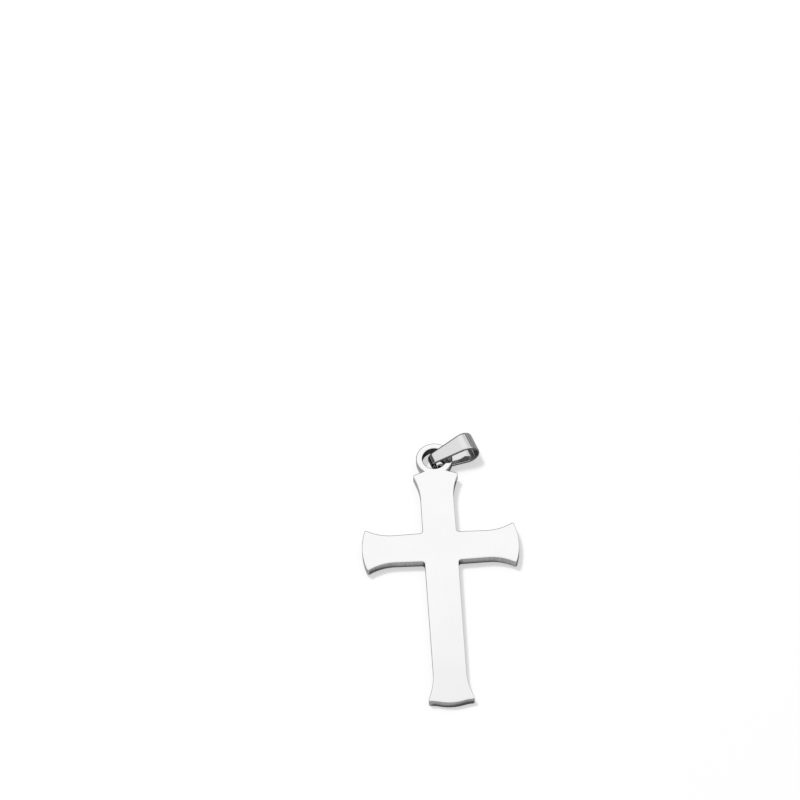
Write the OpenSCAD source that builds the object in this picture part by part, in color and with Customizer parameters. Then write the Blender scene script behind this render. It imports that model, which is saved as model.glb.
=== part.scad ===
// Flat cross pendant with flared arms and a folded strip bail, lying face up on a flat surface.
// Units are millimetres. The cross lies along Y with its eye towards +Y, its polished face
// looks towards +Z, and the surface that it rests on is Z = 0.

/* [Plate] */
// Thickness of the cross plate
plate_t = 1.8; // [1.2:0.1:2.4]
// Width of every arm where the arms cross
arm_w = 6.45; // [5.8:0.05:7.4]
// Radius of the fillet in each inner corner
corner_r = 0.6; // [0.2:0.1:1.5]
// Radius that rounds each tip of the arms
tip_r = 0.35; // [0.15:0.05:0.6]

/* [Side arms] */
// Width of the cross over both side arms
side_span = 30; // [26:0.5:40]
// Width of a side arm at its waist
side_waist_w = 6.2; // [5:0.1:6.8]
// Width over the two tips of a side arm
side_tip_w = 9.3; // [8:0.1:11]
// Length of a side arm's flare, from its waist to its tips
side_flare = 5.4; // [3.5:0.1:7]
// How far the end of a side arm bulges past its tips
side_crown = 0.8; // [0.3:0.05:1.2]

/* [Upper arm] */
// Length of the upper arm, from the middle of the crossing
up_len = 17.5; // [15:0.2:24]
// Width of the upper arm at its waist
up_waist_w = 6.35; // [5:0.05:6.8]
// Width over the two tips of the upper arm
up_tip_w = 8.8; // [8:0.1:10]
// Length of the upper arm's flare, from its waist to its tips
up_flare = 5.6; // [3.5:0.1:7]
// How far the end of the upper arm bulges past its tips
up_crown = 1; // [0.4:0.05:1.2]

/* [Lower arm] */
// Length of the lower arm, from the middle of the crossing
low_len = 35.2; // [28:0.1:48]
// Width of the lower arm at its waist
low_waist_w = 6.3; // [5:0.1:6.8]
// Width over the two tips of the lower arm
low_tip_w = 9; // [8:0.1:11]
// Length of the lower arm's flare, from its waist to its tips
low_flare = 6.4; // [4:0.1:10]
// How far the bell-shaped end of the lower arm stands past its tips
low_crown = 0.6; // [0.3:0.05:1.2]

/* [Eye] */
// Diameter of the hole in the eye
eye_hole_d = 4.6; // [4.4:0.1:6]
// Width of the rim round the hole
eye_rim_w = 1.2; // [1:0.05:1.5]
// Depth of the rim that runs into the end of the upper arm
eye_sink = 0.8; // [0.5:0.05:0.9]
// Radius that rounds the edges of the rim
eye_edge_r = 0.25; // [0.1:0.05:0.35]

/* [Bail] */
// Length of the bail over both ends
bail_len = 9.65; // [8.5:0.05:12]
// Height of the round end that takes the chain
bail_h = 4.9; // [4.6:0.05:6]
// Height of the narrow end that passes through the eye
bail_end_h = 3.1; // [2.8:0.05:3.4]
// Width of the strip at the round end
bail_w = 4.3; // [3:0.1:5]
// Width of the strip at the narrow end
bail_end_w = 2.2; // [1.8:0.1:2.8]
// Thickness of the strip
bail_t = 0.5; // [0.4:0.05:0.6]
// Turn of the bail round the eye, from the right-hand side arm's direction towards the top, in degrees
bail_turn = 19; // [0:1:40]
// Distance from the narrow end to the axis that the bail swings about
bail_seat = 3.6; // [3:0.05:3.8]
// Gap that the turning rim keeps to the inside of the strip
swing_gap = 0.08; // [0.05:0.01:0.2]

/* [Hidden] */
$fn = 96;
// How far a cutting shape reaches past what it cuts
over = 1;
// How far an arc passes over the sides that it runs into, so that it crosses them cleanly
over_side = 0.002;

// Eye: radii of the hole and the rim, and the centre's distance from the crossing
hole_r = eye_hole_d / 2;
eye_r = hole_r + eye_rim_w;
eye_y = up_len - eye_sink + eye_r;

// Bail: the side view is a drop of two circles, end_r and loop_r, with centres drop_len apart,
// and the two flat sides open by half_open on either side of the middle
end_r = bail_end_h / 2;
loop_r = bail_h / 2;
drop_len = bail_len - end_r - loop_r;
half_open = asin((loop_r - end_r) / drop_len);
// Change of half the strip's width for each millimetre of the bail's length
strip_taper = (bail_w - bail_end_w) / 2 / bail_len;
// Half the strip's width where it goes over the rim
seat_half_w = bail_end_w / 2 + strip_taper * bail_seat;

// Swing axis: the middle of the rim's section, as wide as it is within the strip's width
rim_in = sqrt(pow(hole_r, 2) - pow(seat_half_w, 2));
axis_r = (rim_in + eye_r) / 2;
// Largest reach of the rounded section from the axis, and the axis height over the surface
turn_r = norm([(eye_r - rim_in) / 2 - eye_edge_r, plate_t / 2 - eye_edge_r]) + eye_edge_r;
axis_z = bail_t + turn_r + swing_gap;
// Axis in the plate's own frame, and the tilt that rests the plate on its lower end and the bail
axis_at = [axis_r * cos(bail_turn), eye_y + axis_r * sin(bail_turn), plate_t / 2];
axis_run = axis_at.y + low_len;
lie = asin(axis_z / norm([axis_run, axis_at.z])) - atan(axis_at.z / axis_run);

// Places after the tilt: the axis, and how far the object reaches up and down the page
axis_y = axis_run * cos(lie) - axis_at.z * sin(lie) - low_len;
reach_low = -low_len - plate_t * sin(lie);
reach_eye = (eye_y + eye_r + low_len) * cos(lie) - low_len;
// The rim point of the round end that reaches furthest up the page stands at loop_turn
loop_turn = atan(sin(bail_turn) * sin(half_open)
    / (sin(bail_turn) * cos(half_open) + strip_taper * cos(bail_turn)));
reach_bail = axis_y
    + sin(bail_turn) * (end_r - bail_seat + drop_len * cos(half_open) + loop_r * cos(half_open - loop_turn))
    + cos(bail_turn) * (bail_end_w / 2 + strip_taper * (end_r + drop_len + loop_r * cos(loop_turn)));
middle_y = (reach_low + max(reach_eye, reach_bail)) / 2;

// Unit vector along v
function unit(v) = v / norm(v);

// The meeting point of two circles that lies to the left of the way from centre a to centre b
function meet(a, ra, b, rb) =
    let (d = norm(b - a), u = (b - a) / d, x = (d * d + ra * ra - rb * rb) / (2 * d))
    a + x * u + sqrt(ra * ra - x * x) * [-u.y, u.x];

// Point where an arm's straight side ends and its flare begins
function waist_at(len, waist_w, flare, crown) = [waist_w / 2, len - crown - flare];

// One arm along +Y from the middle of the crossing. Its sides run straight to the waist, then
// flare out on arcs to the tips. Its end bulges by crown, on one arc or as a bell of three.
module arm(len, waist_w, tip_w, flare, crown, bell = false) {
    root = [arm_w / 2, arm_w / 2];
    waist = waist_at(len, waist_w, flare, crown);
    tip = [tip_w / 2, len - crown];
    along = unit(waist - root);
    out = [along.y, -along.x];
    flare_r = pow(norm(tip - waist), 2) / (2 * (tip - waist) * out);
    flare_c = waist + flare_r * out;
    // The end's middle arc spans the whole width, or half of it on a bell
    half_span = bell ? tip_w / 4 : tip_w / 2;
    rise = bell ? crown / 2 : crown;
    end_arc_r = (pow(half_span, 2) + pow(rise, 2)) / (2 * rise);
    end_arc_c = [0, len - end_arc_r];
    bell_c = [tip.x, tip.y + end_arc_r];
    round_c = bell
        ? meet(flare_c, flare_r + tip_r, bell_c, end_arc_r + tip_r)
        : meet(end_arc_c, end_arc_r - tip_r, flare_c, flare_r + tip_r);
    on_flare = round_c + tip_r * unit(flare_c - round_c);
    on_end = round_c + tip_r * unit(bell ? bell_c - round_c : round_c - end_arc_c);
    past_tip = tip + tip_r * unit(tip - round_c);
    difference() {
        union() {
            polygon([[-root.x, 0], [root.x, 0], root, waist, [-waist.x, waist.y], [-root.x, root.y]]);
            translate([-tip.x, waist.y]) square([tip_w, len - rise - waist.y]);
            intersection() {
                translate([-tip.x, waist.y]) square([tip_w, len + over - waist.y]);
                translate(end_arc_c) circle(end_arc_r);
            }
        }
        for (side = [0, 1]) mirror([side, 0]) {
            translate(flare_c) circle(flare_r + over_side);
            if (bell) translate(bell_c) circle(end_arc_r + over_side);
            polygon([round_c, on_flare, past_tip, on_end]);
        }
    }
    for (side = [0, 1]) mirror([side, 0]) translate(round_c) circle(tip_r + over_side);
}

// Fillet between a straight side of the arm along Y and one of the side arm along X
module corner_fillet(y_waist) {
    root = [arm_w / 2, arm_w / 2];
    side_waist = waist_at(side_span / 2, side_waist_w, side_flare, side_crown);
    up = unit(y_waist - root);
    across = unit([side_waist.y, side_waist.x] - root);
    half_angle = acos(up * across) / 2;
    centre = root + unit(up + across) * corner_r / sin(half_angle);
    foot = corner_r / tan(half_angle);
    difference() {
        polygon([[0, 0], root + foot * up, centre, root + foot * across]);
        translate(centre) circle(corner_r + over_side);
    }
}

// Outline of the plate
module outline() {
    arm(up_len, up_waist_w, up_tip_w, up_flare, up_crown);
    rotate(180) arm(low_len, low_waist_w, low_tip_w, low_flare, low_crown, bell = true);
    for (turn = [90, -90]) rotate(turn)
        arm(side_span / 2, side_waist_w, side_tip_w, side_flare, side_crown);
    for (side = [0, 1]) mirror([side, 0]) {
        corner_fillet(waist_at(up_len, up_waist_w, up_flare, up_crown));
        mirror([0, 1]) corner_fillet(waist_at(low_len, low_waist_w, low_flare, low_crown));
    }
}

// Section of the eye's rim, with round corners
module rim_section() {
    translate([hole_r, eye_edge_r]) square([eye_rim_w, plate_t - 2 * eye_edge_r]);
    translate([hole_r + eye_edge_r, 0]) square([eye_rim_w - 2 * eye_edge_r, plate_t]);
    for (x = [hole_r + eye_edge_r, eye_r - eye_edge_r], z = [eye_edge_r, plate_t - eye_edge_r])
        translate([x, z]) circle(eye_edge_r);
}

// Solid of the bail's side view, w wide: a drop whose radii are all less by inset
module drop(inset, w) {
    ra = end_r - inset;
    rb = loop_r - inset;
    up = [-sin(half_open), cos(half_open)];
    down = [up.x, -up.y];
    far = [drop_len, 0];
    rotate([90, 0, 0]) {
        cylinder(h = w, r = ra, center = true);
        translate(far) cylinder(h = w, r = rb, center = true);
        linear_extrude(w, center = true) polygon([ra * up, far + rb * up, far + rb * down, ra * down]);
    }
}

// Cross plate with its eye, one piece of sheet, tilted to rest on its lower end and the bail
module cross() {
    color("gainsboro")
    translate([0, -low_len - middle_y, 0]) rotate([lie, 0, 0]) translate([0, low_len, 0])
    union() {
        difference() {
            linear_extrude(plate_t) outline();
            translate([0, eye_y, -over]) cylinder(h = plate_t + 2 * over, r = hole_r + eye_rim_w / 2);
        }
        translate([0, eye_y, 0]) rotate_extrude() rim_section();
    }
}

// Bail, a strip folded to a closed loop through the eye, with its back side flat on the surface
module bail() {
    color("silver")
    translate([axis_at.x, axis_y - middle_y, end_r]) rotate([0, 0, bail_turn])
    translate([end_r - bail_seat, 0, 0]) rotate([0, -half_open, 0])
    intersection() {
        difference() {
            drop(0, bail_w + over);
            drop(bail_t, bail_w + 2 * over);
        }
        translate([-end_r, 0, -loop_r - over]) linear_extrude(bail_h + 2 * over) polygon([
            [0, -bail_end_w / 2], [bail_len, -bail_w / 2],
            [bail_len, bail_w / 2], [0, bail_end_w / 2]]);
    }
}

cross();
bail();
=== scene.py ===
"""Cross pendant of mirror-polished stainless steel with its folded strip bail, in a small studio.

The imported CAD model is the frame, and both pieces here stand for its nodes at the same sizes. Sizes in the
classes are millimetres, in the plate's or the strip's own frame, and a placing matrix takes a finished mesh
to the row frame in metres. The studio and the camera are in metres.
"""

import logging
import math
from collections.abc import Sequence
from dataclasses import dataclass
from enum import Enum
from typing import Any

import bpy
from bpy.types import ID, Material, Mesh, Node, NodeSocket, NodeTree, Object
from mathutils import Matrix, Vector
from mathutils.geometry import tessellate_polygon

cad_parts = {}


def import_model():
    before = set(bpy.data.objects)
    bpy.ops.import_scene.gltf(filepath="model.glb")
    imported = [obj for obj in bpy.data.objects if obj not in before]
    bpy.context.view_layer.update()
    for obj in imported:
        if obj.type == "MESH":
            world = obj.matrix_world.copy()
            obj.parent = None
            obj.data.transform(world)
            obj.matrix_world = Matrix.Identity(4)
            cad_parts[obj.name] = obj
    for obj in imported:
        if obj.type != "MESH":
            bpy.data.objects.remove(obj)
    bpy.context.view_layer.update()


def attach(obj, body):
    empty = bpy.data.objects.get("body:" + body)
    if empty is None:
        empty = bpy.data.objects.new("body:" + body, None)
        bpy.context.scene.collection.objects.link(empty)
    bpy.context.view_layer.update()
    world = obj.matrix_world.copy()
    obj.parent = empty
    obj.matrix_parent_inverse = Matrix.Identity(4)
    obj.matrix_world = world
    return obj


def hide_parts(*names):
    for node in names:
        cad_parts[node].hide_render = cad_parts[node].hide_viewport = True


MM = 0.001
# UV maps along the plate's cut edge and along the strip, and the attribute that the second is made of
EDGE_UV = "edge_run"
STRIP_UV = "strip_run"
RUN = "run"
# Fewest chords of an arc, and steps along the straight stretch of an arm's side
MIN_ARC_STEPS = 4
STRAIGHT_STEPS = 8
# Two flat points nearer than this, in millimetres, count as one
SAME_MM = 1e-4
# Bound of a tent patch that leaves its side open, past any component of a direction
OPEN = 2.0
log = logging.getLogger("cross_pendant")


class ArmEnd(Enum):
    """Forms of an arm's end."""

    ARC = "one outward arc"
    BELL = "an outward arc between two inward ones"


class Steel(Enum):
    """Material slots of the plate's mesh, by index."""

    FACE = 0
    CUT_EDGE = 1
    BORE = 2


class StripZone(Enum):
    """Material slots of the bail's mesh, by index."""

    ROLLED = 0
    INSIDE_BEND = 1
    SLIT_EDGE = 2


def linear(hex_colour: str) -> tuple[float, float, float, float]:
    """Turns an sRGB colour into Blender's linear one.

    Args:
        hex_colour: The colour as #rrggbb.

    Returns:
        Red, green, blue and an alpha of 1, all linear.
    """
    def channel(value: float) -> float:
        """One channel from sRGB to linear."""
        return value / 12.92 if value <= 0.04045 else ((value + 0.055) / 1.055) ** 2.4

    red, green, blue = (channel(int(hex_colour[i:i + 2], 16) / 255) for i in (1, 3, 5))
    return red, green, blue, 1.0


def add_node(tree: NodeTree, kind: str, values: dict[str | int, Any] | None = None,
             links: dict[str | int, NodeSocket] | None = None, **settings: Any) -> Node:
    """Adds a node to a tree.

    Args:
        tree: The material's, world's or geometry's node tree.
        kind: The node's bl_idname.
        values: Default values of its inputs, by the input's name or index.
        links: Sockets that feed its inputs, by the input's name or index.
        **settings: Attributes of the node itself.

    Returns:
        The new node.
    """
    node = tree.nodes.new(kind)
    for name, value in settings.items():
        setattr(node, name, value)
    for key, value in (values or {}).items():
        node.inputs[key].default_value = value
    for key, socket in (links or {}).items():
        tree.links.new(socket, node.inputs[key])
    return node


def new_material(name: str) -> tuple[Material, NodeTree]:
    """Starts a material with an empty tree.

    Args:
        name: The material's name.

    Returns:
        The material and its tree.
    """
    material = bpy.data.materials.new(name)
    material.use_nodes = True
    material.node_tree.nodes.clear()
    return material, material.node_tree


def add_object(name: str, data: ID) -> Object:
    """Puts a mesh, a lamp or a camera into the scene.

    Args:
        name: The object's name.
        data: What it shows.

    Returns:
        The object.
    """
    thing = bpy.data.objects.new(name, data)
    bpy.context.scene.collection.objects.link(thing)
    return thing


def edge_loop(name: str, points: Sequence[Vector]) -> Mesh:
    """Joins flat points to a closed loop of edges.

    Args:
        name: The mesh's name.
        points: The points, in order.

    Returns:
        A mesh of edges alone.
    """
    mesh, count = bpy.data.meshes.new(name), len(points)
    mesh.from_pydata([(p.x, p.y, 0) for p in points], [(i, (i + 1) % count) for i in range(count)], [])
    return mesh


@dataclass(frozen=True)
class MirrorSteel:
    """Stainless steel, buffed to a mirror with a soft wheel.

    The sheet keeps long shallow waves from rolling and buffing, which bend its reflections a little, and the
    wheel leaves hairlines that only show where a light's edge is mirrored.
    """

    name: str = "mirror_polished_stainless_steel"
    colour: str = "#d2d2d2"
    dull_colour: str = "#cccccc"
    cloud_mm: float = 7.0
    roughness: float = 0.05
    hairline_roughness: float = 0.04
    wave_length_mm: float = 22.0
    wave_depth_mm: float = 0.009
    # Real buffing lines stand about 0.01 mm apart; these are drawn at 0.12 mm so that they show
    hairline_spacing_mm: float = 0.12
    hairline_depth_mm: float = 0.0004
    hairline_turn_deg: float = 8.0
    # Share that draws the pattern out into lines, and the part of its range that dulls the steel
    hairline_squeeze: float = 0.04
    hairline_range: tuple[float, float] = (0.45, 0.75)

    def material(self) -> Material:
        """Builds the node material.

        Returns:
            The material, on Object coordinates.
        """
        material, tree = new_material(self.name)
        place = add_node(tree, "ShaderNodeTexCoord").outputs["Object"]
        waves = add_node(tree, "ShaderNodeTexNoise", {
            "Scale": 1 / (self.wave_length_mm * MM), "Detail": 1.0, "Roughness": 0.4}, {"Vector": place})
        along = add_node(tree, "ShaderNodeMapping", {
            "Rotation": (0, 0, math.radians(self.hairline_turn_deg)),
            "Scale": (1, self.hairline_squeeze, 1)}, {"Vector": place})
        hairlines = add_node(tree, "ShaderNodeTexNoise", {"Scale": 1 / (self.hairline_spacing_mm * MM)},
                             {"Vector": along.outputs["Vector"]})
        clouds = add_node(tree, "ShaderNodeTexNoise", {"Scale": 1 / (self.cloud_mm * MM), "Detail": 3.0},
                          {"Vector": place})
        tone = add_node(tree, "ShaderNodeMix", {"A": linear(self.colour), "B": linear(self.dull_colour)},
                        {"Factor": clouds.outputs["Fac"]}, data_type="RGBA")
        dull = add_node(tree, "ShaderNodeMapRange", {
            "From Min": self.hairline_range[0], "From Max": self.hairline_range[1],
            "To Min": self.roughness, "To Max": self.roughness + self.hairline_roughness},
            {"Value": hairlines.outputs["Fac"]})
        long_bump = add_node(tree, "ShaderNodeBump", {"Distance": self.wave_depth_mm * MM},
                             {"Height": waves.outputs["Fac"]})
        fine_bump = add_node(tree, "ShaderNodeBump", {"Distance": self.hairline_depth_mm * MM},
                             {"Height": hairlines.outputs["Fac"], "Normal": long_bump.outputs["Normal"]})
        shader = add_node(tree, "ShaderNodeBsdfPrincipled", {"Metallic": 1.0}, {
            "Base Color": tone.outputs["Result"], "Roughness": dull.outputs["Result"],
            "Normal": fine_bump.outputs["Normal"]})
        add_node(tree, "ShaderNodeOutputMaterial", links={"Surface": shader.outputs["BSDF"]})
        return material


@dataclass(frozen=True)
class CutEdgeSteel:
    """The plate's cut edge: laser-cut stainless steel, tumbled smooth but not buffed.

    It stays greyer than the face, and the cut leaves slanting draw lines across the thickness.
    """

    name: str = "tumbled_cut_edge_stainless_steel"
    colour: str = "#e2e2e3"
    line_colour: str = "#c6c6c8"
    roughness: float = 0.16
    # Draw lines of a cut are some 0.05 mm apart; these are drawn at 0.25 mm so that they show
    line_spacing_mm: float = 0.25
    line_depth_mm: float = 0.003
    line_lean_deg: float = 35.0
    # Share that draws the pattern out into lines, and the part of its range over which the colour changes
    line_squeeze: float = 0.12
    line_range: tuple[float, float] = (0.35, 0.7)

    def material(self) -> Material:
        """Builds the node material.

        Returns:
            The material, on the UV map along the cut edge.
        """
        material, tree = new_material(self.name)
        run = add_node(tree, "ShaderNodeUVMap", uv_map=EDGE_UV)
        lean = add_node(tree, "ShaderNodeMapping", {
            "Rotation": (0, 0, math.radians(self.line_lean_deg)), "Scale": (1, self.line_squeeze, 1)},
            {"Vector": run.outputs["UV"]})
        lines = add_node(tree, "ShaderNodeTexNoise", {"Scale": 1 / (self.line_spacing_mm * MM)},
                         {"Vector": lean.outputs["Vector"]})
        spread = add_node(tree, "ShaderNodeMapRange", {
            "From Min": self.line_range[0], "From Max": self.line_range[1]}, {"Value": lines.outputs["Fac"]})
        tone = add_node(tree, "ShaderNodeMix", {"A": linear(self.colour), "B": linear(self.line_colour)},
                        {"Factor": spread.outputs["Result"]}, data_type="RGBA")
        bump = add_node(tree, "ShaderNodeBump", {"Distance": self.line_depth_mm * MM},
                        {"Height": lines.outputs["Fac"]})
        shader = add_node(tree, "ShaderNodeBsdfPrincipled", {"Metallic": 1.0, "Roughness": self.roughness},
                          {"Base Color": tone.outputs["Result"], "Normal": bump.outputs["Normal"]})
        add_node(tree, "ShaderNodeOutputMaterial", links={"Surface": shader.outputs["BSDF"]})
        return material


@dataclass(frozen=True)
class BrightStripSteel:
    """The bail's strip: bright-rolled stainless steel, folded and then tumbled with polishing stones.

    Its reflections are crisp, with faint rolling lines along the strip.
    """

    name: str = "bright_rolled_stainless_strip"
    colour: str = "#c0c0c1"
    # Inside the round end the strip is darkened as painted shade, more and more over this stretch of its run
    painted_shade_colour: str = "#919192"
    painted_shade_mm: tuple[float, float] = (-0.5, 4.8)
    # The slit edges of the strip are duller than its rolled faces
    slit_colour: str = "#868688"
    roughness: float = 0.045
    line_roughness: float = 0.05
    # Rolling lines stand about 0.02 mm apart; these are drawn at 0.15 mm so that they show
    line_spacing_mm: float = 0.15
    line_depth_mm: float = 0.0005
    # Share that draws the pattern out into lines, and the part of its range that dulls the steel
    line_squeeze: float = 0.03
    line_range: tuple[float, float] = (0.4, 0.8)

    def material(self, zone: StripZone) -> Material:
        """Builds the node material.

        Args:
            zone: The part of the strip's surface that it is for.

        Returns:
            The material, on the UV map along the strip.
        """
        material, tree = new_material(f"{self.name}_{zone.name.lower()}")
        run = add_node(tree, "ShaderNodeUVMap", uv_map=STRIP_UV)
        along = add_node(tree, "ShaderNodeMapping", {"Scale": (self.line_squeeze, 1, 1)},
                         {"Vector": run.outputs["UV"]})
        lines = add_node(tree, "ShaderNodeTexNoise", {"Scale": 1 / (self.line_spacing_mm * MM)},
                         {"Vector": along.outputs["Vector"]})
        dull = add_node(tree, "ShaderNodeMapRange", {
            "From Min": self.line_range[0], "From Max": self.line_range[1],
            "To Min": self.roughness, "To Max": self.roughness + self.line_roughness},
            {"Value": lines.outputs["Fac"]})
        bump = add_node(tree, "ShaderNodeBump", {"Distance": self.line_depth_mm * MM},
                        {"Height": lines.outputs["Fac"]})
        colour = self.slit_colour if zone is StripZone.SLIT_EDGE else self.colour
        links: dict[str | int, NodeSocket] = {
            "Roughness": dull.outputs["Result"], "Normal": bump.outputs["Normal"]}
        # Inside the round end the colour darkens along the run, as painted shade
        if zone is StripZone.INSIDE_BEND:
            place = add_node(tree, "ShaderNodeSeparateXYZ", links={"Vector": run.outputs["UV"]})
            shade_share = add_node(tree, "ShaderNodeMapRange", {
                "From Min": self.painted_shade_mm[0] * MM, "From Max": self.painted_shade_mm[1] * MM},
                {"Value": place.outputs["X"]}, interpolation_type="SMOOTHSTEP")
            tone = add_node(tree, "ShaderNodeMix", {
                "A": linear(self.colour), "B": linear(self.painted_shade_colour)},
                {"Factor": shade_share.outputs["Result"]}, data_type="RGBA")
            links["Base Color"] = tone.outputs["Result"]
        shader = add_node(tree, "ShaderNodeBsdfPrincipled", {
            "Base Color": linear(colour), "Metallic": 1.0}, links)
        add_node(tree, "ShaderNodeOutputMaterial", links={"Surface": shader.outputs["BSDF"]})
        return material


@dataclass(frozen=True)
class StageSheet:
    """A matt sheet of the set, of even colour and perhaps lit from below."""

    name: str
    colour: str
    fibre_colour: str
    glow: float = 0.0
    roughness: float = 0.9
    grain_mm: float = 1.5

    def material(self) -> Material:
        """Builds the node material.

        Returns:
            The material, with a faint grain in its tone.
        """
        material, tree = new_material(self.name)
        place = add_node(tree, "ShaderNodeTexCoord").outputs["Object"]
        grain = add_node(tree, "ShaderNodeTexNoise", {"Scale": 1 / (self.grain_mm * MM), "Detail": 3.0},
                         {"Vector": place})
        tone = add_node(tree, "ShaderNodeMix", {"A": linear(self.colour), "B": linear(self.fibre_colour)},
                        {"Factor": grain.outputs["Fac"]}, data_type="RGBA")
        shader = add_node(tree, "ShaderNodeBsdfPrincipled", {
            "Roughness": self.roughness, "Emission Color": linear("#ffffff"), "Emission Strength": self.glow,
            "Specular IOR Level": 0.0}, {"Base Color": tone.outputs["Result"]})
        add_node(tree, "ShaderNodeOutputMaterial", links={"Surface": shader.outputs["BSDF"]})
        return material


def unit(v: Vector) -> Vector:
    """The direction of a flat vector, one long."""
    return v / v.length


def on_circle(centre: Vector, radius: float, angle: float) -> Vector:
    """The point of a circle at an angle."""
    return centre + radius * Vector((math.cos(angle), math.sin(angle)))


def meet(a: Vector, radius_a: float, b: Vector, radius_b: float) -> Vector:
    """Finds where two circles meet, to the left of the way from one centre to the other.

    Args:
        a: Centre of the first circle.
        radius_a: Its radius.
        b: Centre of the second circle.
        radius_b: Its radius.

    Returns:
        The meeting point.
    """
    span = (b - a).length
    along = (b - a) / span
    reach = (span ** 2 + radius_a ** 2 - radius_b ** 2) / (2 * span)
    return a + along * reach + Vector((-along.y, along.x)) * math.sqrt(radius_a ** 2 - reach ** 2)


def arc(centre: Vector, start: Vector, end: Vector, sag: float, left: bool) -> list[Vector]:
    """Samples an arc closely enough that its chords stay near it.

    Args:
        centre: Centre of the arc.
        start: First point, which isn't repeated in the result.
        end: Last point, which is.
        sag: How far a chord may lie inside the arc.
        left: Whether the arc turns to the left.

    Returns:
        The points after start.
    """
    radius = (start - centre).length
    first = math.atan2(start.y - centre.y, start.x - centre.x)
    last = math.atan2(end.y - centre.y, end.x - centre.x)
    sweep = (last - first) % math.tau if left else -((first - last) % math.tau)
    count = max(MIN_ARC_STEPS, math.ceil(abs(sweep) / (2 * math.acos(1 - sag / radius))))
    angles = [first + sweep * i / count for i in range(1, count)]
    return [on_circle(centre, radius, a) for a in angles] + [end]


@dataclass(frozen=True)
class Arm:
    """One arm of the plate, along +Y from the crossing: straight to its waist, then flared to two tips."""

    length: float
    waist_w: float
    tip_w: float
    flare: float
    crown: float
    end: ArmEnd = ArmEnd.ARC

    @property
    def waist(self) -> Vector:
        """Where the right side's straight stretch ends."""
        return Vector((self.waist_w / 2, self.length - self.crown - self.flare))

    @property
    def end_radius(self) -> float:
        """Radius of the end's arcs.

        Returns:
            The radius that spans the whole end in one arc, or half of it where the end is a bell.
        """
        bell = self.end is ArmEnd.BELL
        half_span, rise = (self.tip_w / 4, self.crown / 2) if bell else (self.tip_w / 2, self.crown)
        return (half_span ** 2 + rise ** 2) / (2 * rise)

    def right_side(self, foot: Vector, root: Vector, tip_r: float, sag: float) -> list[Vector]:
        """Traces the arm's right half, outwards.

        Args:
            foot: Where the inner corner's fillet ends.
            root: The inner corner itself.
            tip_r: Radius that rounds the tip.
            sag: How far a chord may lie inside an arc.

        Returns:
            The points from the foot to where the end's middle arc is reached.
        """
        waist, tip = self.waist, Vector((self.tip_w / 2, self.length - self.crown))
        along = unit(waist - root)
        out = Vector((along.y, -along.x))
        flare_r = (tip - waist).length_squared / (2 * (tip - waist).dot(out))
        flare_c = waist + flare_r * out
        end_c = Vector((0, self.length - self.end_radius))
        points = [foot + (waist - foot) * i / STRAIGHT_STEPS for i in range(STRAIGHT_STEPS + 1)]
        if self.end is ArmEnd.BELL:
            bell_c = Vector((tip.x, tip.y + self.end_radius))
            round_c = meet(flare_c, flare_r + tip_r, bell_c, self.end_radius + tip_r)
            on_end = round_c + tip_r * unit(bell_c - round_c)
        else:
            round_c = meet(end_c, self.end_radius - tip_r, flare_c, flare_r + tip_r)
            on_end = round_c + tip_r * unit(round_c - end_c)
        on_flare = round_c + tip_r * unit(flare_c - round_c)
        points += arc(flare_c, waist, on_flare, sag, left=False)
        points += arc(round_c, on_flare, on_end, sag, left=True)
        if self.end is ArmEnd.BELL:
            middle = Vector((self.tip_w / 4, self.length - self.crown / 2))
            points += arc(bell_c, on_end, middle, sag, left=False)
        return points

    def outline(self, feet: tuple[Vector, Vector], root: Vector, tip_r: float, sag: float,
                eye: "Eye | None" = None) -> list[Vector]:
        """Traces the whole arm from its right foot to its left one.

        Args:
            feet: Ends of the fillets at the right and the left inner corner, both given for the right side.
            root: The right inner corner.
            tip_r: Radius that rounds the tips.
            sag: How far a chord may lie inside an arc.
            eye: The eye that stands on the arm's end, if it has one.

        Returns:
            The outline's points, with the arm along +Y.
        """
        right = self.right_side(feet[0], root, tip_r, sag)
        left = [Vector((-p.x, p.y)) for p in reversed(self.right_side(feet[1], root, tip_r, sag))]
        end_c = Vector((0, self.length - self.end_radius))
        if eye is None:
            return right + arc(end_c, right[-1], left[0], sag, left=True) + left[1:]
        notch = eye.notch(end_c, self.end_radius)
        far_notch = Vector((-notch.x, notch.y))
        return (right + arc(end_c, right[-1], notch, sag, left=True)
                + arc(eye.centre, notch, far_notch, sag, left=True)
                + arc(end_c, far_notch, left[0], sag, left=True) + left[1:])


@dataclass(frozen=True)
class Eye:
    """The round eye above the upper arm."""

    centre: Vector
    hole_r: float
    rim_w: float

    @property
    def outer_r(self) -> float:
        """Radius over the rim."""
        return self.hole_r + self.rim_w

    def notch(self, end_c: Vector, end_r: float) -> Vector:
        """The right-hand corner where the rim runs into the arm's end."""
        point = meet(self.centre, self.outer_r, end_c, end_r)
        return Vector((abs(point.x), point.y))

    def hole(self, sag: float) -> list[Vector]:
        """Traces the hole, with the metal on the left.

        Args:
            sag: How far a chord may lie inside the circle.

        Returns:
            The hole's points.
        """
        start = self.centre + Vector((self.hole_r, 0))
        far = self.centre - Vector((self.hole_r, 0))
        return arc(self.centre, start, far, sag, left=False) + arc(self.centre, far, start, sag, left=False)


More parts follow.
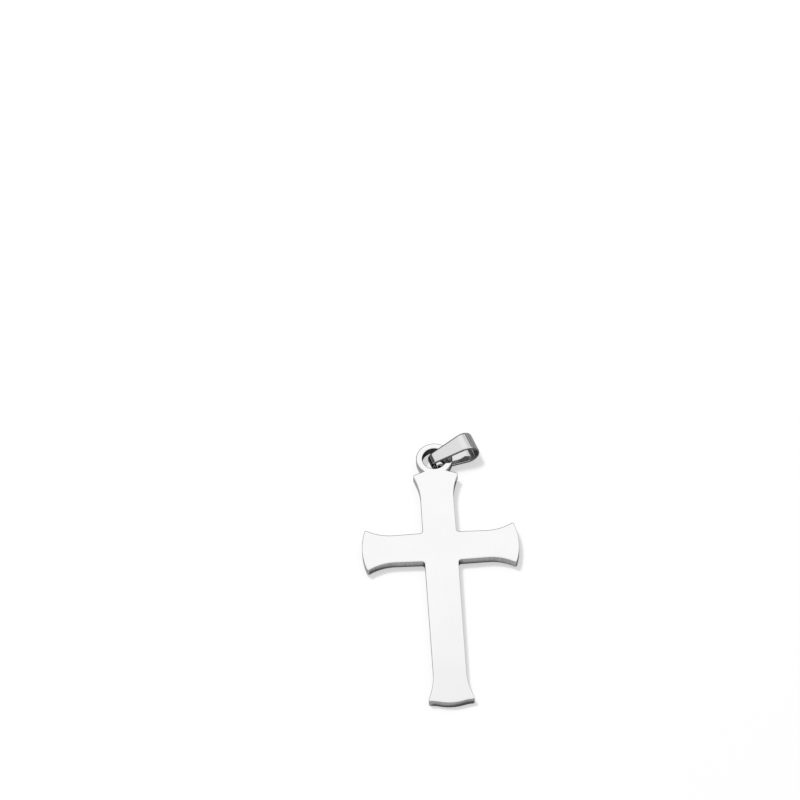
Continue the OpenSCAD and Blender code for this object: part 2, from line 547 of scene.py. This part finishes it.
@dataclass
class CrossPlate:
    """The cross with its eye, cut from one sheet, with softly rounded edges."""

    thickness: float = 1.8
    arm_w: float = 6.45
    corner_r: float = 0.6
    tip_r: float = 0.35
    side_arm: Arm = Arm(length=15.0, waist_w=6.2, tip_w=9.3, flare=5.4, crown=0.8)
    upper_arm: Arm = Arm(length=17.5, waist_w=6.35, tip_w=8.8, flare=5.6, crown=1.0)
    # The lower arm is 5 micrometres short of the solid's, whose bell end is cut into short straight facets
    lower_arm: Arm = Arm(length=35.195, waist_w=6.3, tip_w=9.0, flare=6.4, crown=0.6, end=ArmEnd.BELL)
    eye_hole_r: float = 2.3
    eye_rim_w: float = 1.2
    eye_sink: float = 0.8
    # The buffing wheel rounds each edge to a quarter of an ellipse, wider on the face than it is deep
    edge_depth: float = 0.08
    edge_spread: float = 3.0
    eye_edge_depth: float = 0.16
    eye_edge_spread: float = 1.3
    # Share of the rounding left in the sharp notch beside the eye, where the wheel doesn't reach, and how
    # far from the notch the full rounding starts
    notch_share: float = 0.15
    notch_reach: float = 0.9
    # Tilt of the lying plate and the crossing's place before it, both as in the CAD model
    lie_deg: float = 0.8470256
    crossing_y: float = 5.1073605
    # How far a chord may lie inside an arc, and how far beside a rounding the flats are held flat
    sag: float = 0.0012
    support: float = 0.04
    edge_steps: int = 8
    face: MirrorSteel = MirrorSteel()
    cut_edge: CutEdgeSteel = CutEdgeSteel()
    # The hole's wall is rougher, and its dark grey colour is painted shade inside the hole
    bore: CutEdgeSteel = CutEdgeSteel(name="bore_painted_shade_stainless_steel", colour="#838385",
                                      line_colour="#636366", roughness=0.25)

    @property
    def eye(self) -> Eye:
        """The eye at its place.

        Returns:
            The eye, sunk a little into the upper arm's end.
        """
        outer = self.eye_hole_r + self.eye_rim_w
        centre = Vector((0, self.upper_arm.length - self.eye_sink + outer))
        return Eye(centre, self.eye_hole_r, self.eye_rim_w)

    def placing(self) -> Matrix:
        """The matrix from the plate's own millimetres to the row frame's metres."""
        foot = self.lower_arm.length
        return (Matrix.Scale(MM, 4) @ Matrix.Translation((0, self.crossing_y - foot, 0))
                @ Matrix.Rotation(math.radians(self.lie_deg), 4, "X") @ Matrix.Translation((0, foot, 0)))

    def outline(self) -> list[Vector]:
        """Traces the plate's outline counter-clockwise.

        Returns:
            The points, in the plate's own frame.
        """
        root = Vector((self.arm_w / 2, self.arm_w / 2))
        arms = [self.side_arm, self.upper_arm, self.side_arm, self.lower_arm]
        fillets = []
        for near, far in zip(arms, arms[1:] + arms[:1]):
            # In the frame where the next arm points along +Y, the arm before it points along +X
            up, across = unit(far.waist - root), unit(Vector((near.waist.y, near.waist.x)) - root)
            half = math.acos(up.dot(across)) / 2
            centre = root + unit(up + across) * self.corner_r / math.sin(half)
            reach = self.corner_r / math.tan(half)
            fillets.append((centre, root + across * reach, root + up * reach))
        points: list[Vector] = []
        for i, arm in enumerate(arms):
            turn = Matrix.Rotation(math.radians(90 * (i - 1)), 2)
            right_foot = fillets[i - 1][2]
            left_foot = fillets[i][1]
            feet = (right_foot, Vector((left_foot.y, left_foot.x)))
            eye = self.eye if arm is self.upper_arm else None
            points += [turn @ p for p in arm.outline(feet, root, self.tip_r, self.sag, eye)]
            centre, start, end = fillets[i]
            next_turn = Matrix.Rotation(math.radians(90 * i), 2)
            points += [next_turn @ p for p in arc(centre, start, end, self.sag, left=False)[:-1]]
        return points

    def rounding(self, points: Sequence[Vector]) -> list[tuple[float, float]]:
        """Gives the edge's rounding at each point of a loop.

        Args:
            points: The outline or the hole.

        Returns:
            Width on the face and depth for each point: the rim's on the eye, the plate's elsewhere, and
            little in the notches.
        """
        eye, end_r = self.eye, self.upper_arm.end_radius
        notch = eye.notch(Vector((0, self.upper_arm.length - end_r)), end_r)
        rim = (self.eye_edge_depth * self.eye_edge_spread, self.eye_edge_depth)
        plate = (self.edge_depth * self.edge_spread, self.edge_depth)
        sizes = []
        for p in points:
            on_eye = (p - eye.centre).length < eye.outer_r + SAME_MM
            away = min(1.0, (Vector((abs(p.x), p.y)) - notch).length / self.notch_reach)
            eased = away * away * (3 - 2 * away)
            share = self.notch_share + (1 - self.notch_share) * eased
            width, depth = rim if on_eye else plate
            sizes.append((width * share, depth * share))
        return sizes

    def band(self, points: Sequence[Vector], sizes: Sequence[tuple[float, float]],
             wall: Steel) -> tuple[list[list[Vector]], list[Steel]]:
        """Works out the rows of points that carry the edge from the face over the wall to the back.

        Args:
            points: The outline or the hole, with the metal on its left.
            sizes: The rounding's width and depth at each point.
            wall: The steel of the upright wall.

        Returns:
            The rows, each as long as points, and the steel of the faces between each row and the next.
        """
        count = len(points)
        inward = []
        for i, p in enumerate(points):
            before, after = unit(p - points[i - 1]), unit(points[(i + 1) % count] - p)
            left_a, left_b = Vector((-before.y, before.x)), Vector((-after.y, after.x))
            inward.append((left_a + left_b) / (1 + left_a.dot(left_b)))
        top = self.thickness
        # Share of the rounding's width, way past it and share of its depth, from the face's flat to the wall
        profile: list[tuple[float, float, float]] = [(1.0, self.support, 0.0)]
        angles = [math.pi / 2 * (1 - k / self.edge_steps) for k in range(self.edge_steps + 1)]
        profile += [(1 - math.cos(a), 0.0, 1 - math.sin(a)) for a in angles]
        rows = []
        for inset, extra, drop in profile:
            rows.append([self.lift(p + n * (inset * width + extra), top - drop * depth)
                         for p, n, (width, depth) in zip(points, inward, sizes)])
        rows.append([self.lift(p, top - depth - self.support) for p, (_, depth) in zip(points, sizes)])
        # The last step of the rounding and the wall below it belong to the wall's steel
        steels = [Steel.FACE] * (len(rows) - 3) + [wall] * 2
        mirrored = [[Vector((v.x, v.y, top - v.z)) for v in row] for row in reversed(rows)]
        return rows + mirrored, steels + [wall] + list(reversed(steels))

    @staticmethod
    def lift(p: Vector, height: float) -> Vector:
        """The flat point at a height."""
        return Vector((p.x, p.y, height))

    def mesh(self) -> Mesh:
        """Builds the closed mesh: two bands of edge and the two faces between them.

        Returns:
            The mesh in the row frame, with a UV map of the run along the edge and the height, in metres.
        """
        vertices: list[Vector] = []
        faces: list[tuple[int, ...]] = []
        steels: list[Steel] = []
        runs: list[tuple[tuple[float, float], ...]] = []
        rims: dict[bool, list[list[int]]] = {True: [], False: []}
        for points, wall in ((self.outline(), Steel.CUT_EDGE), (self.eye.hole(self.sag), Steel.BORE)):
            rows, row_steels = self.band(points, self.rounding(points), wall)
            count, base = len(points), len(vertices)
            vertices += [v for row in rows for v in row]
            lengths = [0.0]
            for i in range(count):
                lengths.append(lengths[-1] + (points[(i + 1) % count] - points[i]).length)
            heights = [row[0].z for row in rows]
            for k, steel in enumerate(row_steels):
                for i in range(count):
                    j = (i + 1) % count
                    faces.append((base + k * count + i, base + (k + 1) * count + i,
                                  base + (k + 1) * count + j, base + k * count + j))
                    steels.append(steel)
                    near, far = lengths[i] * MM, lengths[i + 1] * MM
                    runs.append(((near, heights[k] * MM), (near, heights[k + 1] * MM),
                                 (far, heights[k + 1] * MM), (far, heights[k] * MM)))
            rims[True].append(list(range(base, base + count)))
            rims[False].append(list(range(base + (len(rows) - 1) * count, base + len(rows) * count)))
        for upper, loops in rims.items():
            flat = [i for loop in loops for i in loop]
            for triangle in tessellate_polygon([[vertices[i] for i in loop] for loop in loops]):
                a, b, c = (flat[i] for i in triangle)
                turned = (vertices[b] - vertices[a]).cross(vertices[c] - vertices[a]).z > 0
                faces.append((a, b, c) if turned == upper else (a, c, b))
                steels.append(Steel.FACE)
                runs.append(((0.0, 0.0),) * 3)
        mesh = bpy.data.meshes.new("cross_plate")
        mesh.from_pydata(vertices, [], faces)
        mesh.polygons.foreach_set("material_index", [s.value for s in steels])
        mesh.shade_smooth()
        layer = mesh.uv_layers.new(name=EDGE_UV)
        layer.data.foreach_set("uv", [c for face in runs for corner in face for c in corner])
        mesh.transform(self.placing())
        mesh.validate()
        return mesh

    def build(self) -> Object:
        """Makes the plate, dresses it and puts it in the CAD node's place.

        Returns:
            The finished object.
        """
        plate = add_object("cross_plate", self.mesh())
        for finish in (self.face, self.cut_edge, self.bore):
            plate.data.materials.append(finish.material())
        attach(plate, "cross")
        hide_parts("cross")
        return plate


@dataclass
class StripBail:
    """The bail: a tapered strip folded to a closed loop, round at the chain's end and narrow in the eye."""

    length: float = 9.65
    round_h: float = 4.9
    narrow_h: float = 3.1
    round_w: float = 4.3
    narrow_w: float = 2.2
    thickness: float = 0.5
    # Tumbling rounds each edge to a quarter of an ellipse, wider on the flat than it is deep
    edge_width: float = 0.42
    edge_depth: float = 0.21
    edge_steps: int = 9
    # Lean of a face, as the sine of its angle to the flat, from which on it counts as slit edge
    edge_lean: float = 0.34
    support: float = 0.03
    # Place of the swing axis and the bail's turn round the eye, as in the CAD model
    axis_x: float = 2.4822971
    axis_y: float = 26.1426321
    seat: float = 3.6
    turn_deg: float = 19.0
    arc_step_deg: float = 3.0
    side_step: float = 0.3
    steel: BrightStripSteel = BrightStripSteel()

    @property
    def run(self) -> float:
        """Distance between the centres of the two round ends."""
        return self.length - (self.round_h + self.narrow_h) / 2

    @property
    def half_open(self) -> float:
        """Angle of each flat side to the middle, in radians."""
        return math.asin((self.round_h - self.narrow_h) / 2 / self.run)

    def path(self) -> Mesh:
        """Draws the middle line of the folded strip as a loop of edges in the XY plane.

        Returns:
            A mesh of edges alone, in millimetres, counter-clockwise.
        """
        small, large = (self.narrow_h - self.thickness) / 2, (self.round_h - self.thickness) / 2
        near, far = Vector((0, 0)), Vector((self.run, 0))
        opening = math.pi / 2 + self.half_open
        points: list[Vector] = []

        def bend(centre: Vector, radius: float, first: float, last: float) -> None:
            """Adds the points of one round end.

            Args:
                centre: Its centre.
                radius: Its radius.
                first: Angle of its first point.
                last: Angle of its last point.
            """
            steps = math.ceil(math.degrees(abs(last - first)) / self.arc_step_deg)
            for i in range(steps + 1):
                points.append(on_circle(centre, radius, first + (last - first) * i / steps))

        def side(start: Vector, end: Vector) -> None:
            """Adds the points between the ends of one flat side."""
            steps = math.ceil((end - start).length / self.side_step)
            points.extend(start + (end - start) * i / steps for i in range(1, steps))

        bend(far, large, -opening, opening)
        side(on_circle(far, large, opening), on_circle(near, small, opening))
        bend(near, small, opening, math.tau - opening)
        side(on_circle(near, small, -opening), on_circle(far, large, -opening))
        return edge_loop("bail_path", points)

    def section(self) -> Mesh:
        """Draws the strip's section at its widest, a rectangle with rounded corners.

        Returns:
            A mesh of edges alone, thickness along X and width along Y.
        """
        half_t, half_w = self.thickness / 2, self.round_w / 2
        points = []
        for quarter, (sx, sy) in enumerate(((1, 1), (-1, 1), (-1, -1), (1, -1))):
            corner = Vector((sx * (half_t - self.edge_depth), sy * (half_w - self.edge_width)))
            angles = [math.pi / 2 * (quarter + k / self.edge_steps) for k in range(self.edge_steps + 1)]
            turned = [corner + Vector((self.edge_depth * math.cos(a), self.edge_width * math.sin(a)))
                      for a in angles]
            # One point a little way along each flat keeps the flats shaded flat
            before = turned[0] - self.support * Vector((-math.sin(angles[0]), math.cos(angles[0])))
            after = turned[-1] + self.support * Vector((-math.sin(angles[-1]), math.cos(angles[-1])))
            points += [before, *turned, after]
        return edge_loop("bail_section", points)

    def sweep_tree(self, steel: Material) -> NodeTree:
        """Builds the node tree that sweeps the section along the path and tapers it.

        Args:
            steel: The material that the tree sets.

        Returns:
            The geometry node tree, with named inputs for the section and the sizes.
        """
        tree = bpy.data.node_groups.new("folded_strip", "GeometryNodeTree")
        face = tree.interface
        face.new_socket("Path", in_out="INPUT", socket_type="NodeSocketGeometry")
        face.new_socket("Section", in_out="INPUT", socket_type="NodeSocketObject")
        sizes = ("Length", "Narrow Reach", "Round Width", "Narrow Width")
        for name in sizes:
            face.new_socket(name, in_out="INPUT", socket_type="NodeSocketFloat")
        face.new_socket("Strip", in_out="OUTPUT", socket_type="NodeSocketGeometry")
        given = add_node(tree, "NodeGroupInput").outputs
        path = add_node(tree, "GeometryNodeMeshToCurve", links={"Mesh": given["Path"]})
        upright = add_node(tree, "GeometryNodeSetCurveNormal", links={"Curve": path.outputs["Curve"]},
                           mode="Z_UP")
        run = add_node(tree, "GeometryNodeSplineParameter")
        path_length = add_node(tree, "GeometryNodeStoreNamedAttribute", {"Name": RUN}, {
            "Geometry": upright.outputs["Curve"], "Value": run.outputs["Length"]},
            data_type="FLOAT", domain="POINT")
        seen = add_node(tree, "GeometryNodeObjectInfo", links={"Object": given["Section"]},
                        transform_space="ORIGINAL")
        section = add_node(tree, "GeometryNodeMeshToCurve", links={"Mesh": seen.outputs["Geometry"]})
        swept = add_node(tree, "GeometryNodeCurveToMesh", links={
            "Curve": path_length.outputs["Geometry"], "Profile Curve": section.outputs["Curve"]})
        # The width at each point runs evenly from the narrow end to the round one, so both sides move
        # inwards by half of what it lacks there
        xyz = add_node(tree, "ShaderNodeSeparateXYZ",
                       links={0: add_node(tree, "GeometryNodeInputPosition").outputs[0]})
        known = {"x": xyz.outputs["X"], "z": xyz.outputs["Z"]} | {name: given[name] for name in sizes}
        for result, operation, terms in (
                ("from end", "ADD", ("x", "Narrow Reach")), ("share", "DIVIDE", ("from end", "Length")),
                ("still", "SUBTRACT", (1.0, "share")), ("lost", "SUBTRACT", ("Round Width", "Narrow Width")),
                ("shift", "MULTIPLY", ("lost", "still")), ("side", "SIGN", ("z",)),
                ("half", "MULTIPLY", ("side", -0.5)), ("inwards", "MULTIPLY", ("shift", "half"))):
            values = {i: term for i, term in enumerate(terms) if not isinstance(term, str)}
            links = {i: known[term] for i, term in enumerate(terms) if isinstance(term, str)}
            known[result] = add_node(tree, "ShaderNodeMath", values, links, operation=operation).outputs[0]
        offset = add_node(tree, "ShaderNodeCombineXYZ", links={"Z": known["inwards"]})
        tapered = add_node(tree, "GeometryNodeSetPosition", links={
            "Geometry": swept.outputs["Mesh"], "Offset": offset.outputs[0]})
        smooth = add_node(tree, "GeometryNodeSetShadeSmooth", {"Shade Smooth": True},
                          {"Geometry": tapered.outputs[0]})
        real = add_node(tree, "GeometryNodeRealizeInstances", links={0: smooth.outputs[0]})
        dressed = add_node(tree, "GeometryNodeSetMaterial", {"Material": steel},
                           {"Geometry": real.outputs[0]})
        add_node(tree, "NodeGroupOutput", links={"Strip": dressed.outputs[0]})
        return tree

    def placing(self) -> Matrix:
        """The matrix from the strip's own millimetres to the row frame's metres."""
        end_r = self.narrow_h / 2
        return (Matrix.Scale(MM, 4) @ Matrix.Translation((self.axis_x, self.axis_y, end_r))
                @ Matrix.Rotation(math.radians(self.turn_deg), 4, "Z")
                @ Matrix.Translation((end_r - self.seat, 0, 0))
                @ Matrix.Rotation(-self.half_open, 4, "Y") @ Matrix.Rotation(math.pi / 2, 4, "X"))

    def map_run(self, mesh: Mesh) -> None:
        """Gives the mesh a UV map of the run along the strip and the place across it, in metres.

        Args:
            mesh: The swept strip, still in its own frame.
        """
        run = mesh.attributes[RUN].data
        loop_length = max(point.value for point in run) + self.side_step
        layer = mesh.uv_layers.new(name=STRIP_UV)
        for polygon in mesh.polygons:
            values = [run[mesh.loops[i].vertex_index].value for i in polygon.loop_indices]
            wraps = max(values) - min(values) > loop_length / 2
            for i, value in zip(polygon.loop_indices, values):
                along = value + loop_length if wraps and value < loop_length / 2 else value
                layer.data[i].uv = (along * MM, mesh.vertices[mesh.loops[i].vertex_index].co.z * MM)

    def mark_zones(self, mesh: Mesh) -> None:
        """Gives the slit edges and the faces inside the round end their own material slots.

        Args:
            mesh: The swept strip, still in its own frame.
        """
        # Nearer to the bend's centre than this lies only the strip's inner side
        inner = (self.round_h - self.thickness) / 2 - self.thickness / 4
        for polygon in mesh.polygons:
            x, y = polygon.center.x - self.run, polygon.center.y
            zone = StripZone.ROLLED
            if abs(polygon.normal.z) > self.edge_lean:
                zone = StripZone.SLIT_EDGE
            elif math.hypot(x, y) < inner and x > -math.sin(self.half_open) * inner:
                zone = StripZone.INSIDE_BEND
            polygon.material_index = zone.value

    def build(self) -> Object:
        """Makes the bail, dresses it and puts it in the CAD node's place.

        Returns:
            The finished object.
        """
        steel = self.steel.material(StripZone.ROLLED)
        maker = add_object("bail_maker", self.path())
        section = add_object("bail_section", self.section())
        sweep = maker.modifiers.new("folded strip", "NODES")
        sweep.node_group = self.sweep_tree(steel)
        sizes = {"Section": section, "Length": self.length, "Narrow Reach": self.narrow_h / 2,
                 "Round Width": self.round_w, "Narrow Width": self.narrow_w}
        for item in sweep.node_group.interface.items_tree:
            if item.item_type == "SOCKET" and item.in_out == "INPUT" and item.name in sizes:
                sweep[item.identifier] = sizes[item.name]
        bpy.context.view_layer.update()
        swept = maker.evaluated_get(bpy.context.evaluated_depsgraph_get())
        mesh = bpy.data.meshes.new_from_object(swept)
        maker.modifiers.remove(sweep)
        for part in (maker, section):
            bpy.data.objects.remove(part)
        self.map_run(mesh)
        self.mark_zones(mesh)
        for zone in (StripZone.INSIDE_BEND, StripZone.SLIT_EDGE):
            mesh.materials.append(self.steel.material(zone))
        mesh.transform(self.placing())
        mesh.name = "strip_bail"
        bail = add_object("strip_bail", mesh)
        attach(bail, "bail")
        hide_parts("bail")
        return bail


@dataclass(frozen=True)
class Softbox:
    """A square studio softbox that looks at the pendant from a bearing and a height.

    It casts the soft shadow, and the steel doesn't mirror it, only the tent.
    """

    name: str
    bearing_deg: float
    elevation_deg: float
    distance: float
    side: float
    power: float

    def build(self) -> None:
        """Makes the light, with the bearing measured from the far side, +Y, towards +X."""
        bearing, elevation = math.radians(self.bearing_deg), math.radians(self.elevation_deg)
        way = Vector((math.sin(bearing) * math.cos(elevation), math.cos(bearing) * math.cos(elevation),
                      math.sin(elevation)))
        lamp = bpy.data.lights.new(self.name, "AREA")
        lamp.shape, lamp.size, lamp.energy = "SQUARE", self.side, self.power
        box = add_object(self.name, lamp)
        box.location = way * self.distance
        box.rotation_euler = way.to_track_quat("Z", "Y").to_euler()
        box.visible_camera = box.visible_glossy = False


@dataclass(frozen=True)
class TentPatch:
    """A soft-edged patch of the light tent, given by bounds on the direction towards it."""

    radiance: float
    soft: float
    x: tuple[float, float] = (-OPEN, OPEN)
    y: tuple[float, float] = (-OPEN, OPEN)
    z: tuple[float, float] = (-OPEN, OPEN)

    def over(self, tree: NodeTree, way: Sequence[NodeSocket], under: NodeSocket) -> NodeSocket:
        """Lays the patch over what the tent is so far.

        Args:
            tree: The world's tree.
            way: The direction's three components.
            under: The radiance so far.

        Returns:
            The radiance with the patch.
        """
        mask: NodeSocket | None = None
        for component, (low, high) in zip(way, (self.x, self.y, self.z)):
            for edge, first, last in ((low, 0.0, 1.0), (high, 1.0, 0.0)):
                if abs(edge) == OPEN:
                    continue
                step = add_node(tree, "ShaderNodeMapRange", {
                    "From Min": edge - self.soft / 2, "From Max": edge + self.soft / 2,
                    "To Min": first, "To Max": last}, {"Value": component},
                    interpolation_type="SMOOTHSTEP").outputs["Result"]
                mask = step if mask is None else add_node(
                    tree, "ShaderNodeMath", links={0: mask, 1: step}, operation="MULTIPLY").outputs[0]
        patched = add_node(tree, "ShaderNodeMix", {"B": self.radiance}, {"Factor": mask, "A": under})
        return patched.outputs["Result"]


@dataclass
class Studio:
    """Backlit sheet, light tent and key light, none of it part of the pendant.

    As in a catalogue picture with a whitened ground, the camera sees the pendant on a white sheet, while the
    steel mirrors the grey table top of the set in the same place.
    """

    floor_side: float = 6.0
    sheet: StageSheet = StageSheet("backlit_white_acrylic", "#7a7a7a", "#787878", glow=0.575)
    table: StageSheet = StageSheet("grey_table_top", "#808080", "#7c7c7c")
    # How far the table lies below the sheet, which is too little to show
    table_drop: float = 0.00002
    key: Softbox = Softbox("key_softbox", bearing_deg=-46.0, elevation_deg=66.0, distance=1.2, side=0.24,
                           power=24.0)
    # Radiance of the tent by the sine of the height above the horizon, from low to high
    tent: tuple[tuple[float, float], ...] = (
        (0.0, 0.26), (0.12, 0.34), (0.19, 0.62), (0.27, 0.80), (0.32, 0.26), (0.40, 0.22), (0.46, 0.70),
        (0.53, 1.22), (0.62, 1.26), (0.67, 1.08), (0.74, 1.26), (0.80, 1.46), (0.847, 1.52), (0.852, 1.47),
        (0.858, 1.34), (0.868, 1.24), (0.92, 1.30), (0.95, 1.50), (0.975, 1.42), (1.0, 1.18))
    # A bright panel at the left, a grey one low at the right, a dark one low at the left and the back, and
    # a grey front
    patches: tuple[TentPatch, ...] = (
        TentPatch(radiance=1.33, soft=0.1, x=(-OPEN, -0.48), z=(0.50, 0.90)),
        TentPatch(radiance=0.42, soft=0.16, x=(0.68, OPEN), z=(-OPEN, 0.55)),
        TentPatch(radiance=0.14, soft=0.1, x=(-OPEN, 0.38), z=(-OPEN, 0.60)),
        TentPatch(radiance=0.40, soft=0.15, y=(-OPEN, -0.1), z=(-OPEN, 0.93)))

    def build_floor(self) -> None:
        """Lays the white sheet that the camera sees and the grey table that the steel mirrors."""
        half = self.floor_side / 2
        corners = ((-half, -half), (half, -half), (half, half), (-half, half))
        for name, finish, height, unseen_by in (
                ("white_sheet", self.sheet, 0.0,
                 ("glossy", "diffuse", "transmission", "volume_scatter", "shadow")),
                ("grey_table", self.table, -self.table_drop, ("camera",))):
            mesh = bpy.data.meshes.new(name)
            mesh.from_pydata([(x, y, height) for x, y in corners], [], [(0, 1, 2, 3)])
            mesh.materials.append(finish.material())
            sheet = add_object(name, mesh)
            for ray in unseen_by:
                setattr(sheet, "visible_" + ray, False)

    def build_tent(self) -> None:
        """Lights the set from a tent whose brightness depends on the direction."""
        world = bpy.data.worlds.new("light_tent")
        world.use_nodes = True
        tree = world.node_tree
        tree.nodes.clear()
        # In a world, Generated is the direction that is looked in
        way = add_node(tree, "ShaderNodeTexCoord").outputs["Generated"]
        xyz = add_node(tree, "ShaderNodeSeparateXYZ", links={"Vector": way})
        by_height = add_node(tree, "ShaderNodeFloatCurve", links={"Value": xyz.outputs["Z"]})
        curve = by_height.mapping.curves[0]
        peak = max(value for _, value in self.tent)
        curve.points[0].location = (0.0, self.tent[0][1] / peak)
        curve.points[1].location = (1.0, self.tent[-1][1] / peak)
        for height, value in self.tent[1:-1]:
            curve.points.new(height, value / peak)
        for point in curve.points:
            point.handle_type = "VECTOR"
        by_height.mapping.update()
        radiance = add_node(tree, "ShaderNodeMath", {1: peak}, {0: by_height.outputs[0]},
                            operation="MULTIPLY").outputs[0]
        for patch in self.patches:
            radiance = patch.over(tree, xyz.outputs[:3], radiance)
        glow = add_node(tree, "ShaderNodeBackground", {"Color": linear("#ffffff")}, {"Strength": radiance})
        add_node(tree, "ShaderNodeOutputWorld", links={"Surface": glow.outputs[0]})
        bpy.context.scene.world = world

    def build(self) -> None:
        """Makes the floor, the tent and the key light."""
        self.build_floor()
        self.build_tent()
        self.key.build()


@dataclass(frozen=True)
class ProductCamera:
    """Long-lens camera that looks down at the pendant, as the photograph's does."""

    place: tuple[float, float, float] = (-0.03838, -0.84713, 1.2679)
    look_at: tuple[float, float, float] = (-0.00575, 0.03975, 0.00212)
    roll_deg: float = -1.48
    lens_mm: float = 360.0
    sensor_mm: float = 36.0

    def build(self) -> None:
        """Makes the camera and hands it to the scene."""
        data = bpy.data.cameras.new("product_camera")
        data.lens, data.sensor_width = self.lens_mm, self.sensor_mm
        camera = add_object("product_camera", data)
        camera.location = self.place
        way = Vector(self.look_at) - Vector(self.place)
        level = way.to_track_quat("-Z", "Y").to_matrix()
        camera.rotation_euler = (level @ Matrix.Rotation(math.radians(self.roll_deg), 3, "Z")).to_euler()
        bpy.context.scene.camera = camera


def main() -> None:
    """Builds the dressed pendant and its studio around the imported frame."""
    logging.basicConfig(level=logging.INFO, format="%(name)s: %(message)s")
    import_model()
    # With the plain transform the white sheet stays white
    bpy.context.scene.view_settings.view_transform = "Standard"
    for maker in (CrossPlate(), StripBail()):
        piece = maker.build()
        log.info("%s: %d faces", piece.name, len(piece.data.polygons))
    Studio().build()
    ProductCamera().build()


if __name__ == "__main__":
    main()
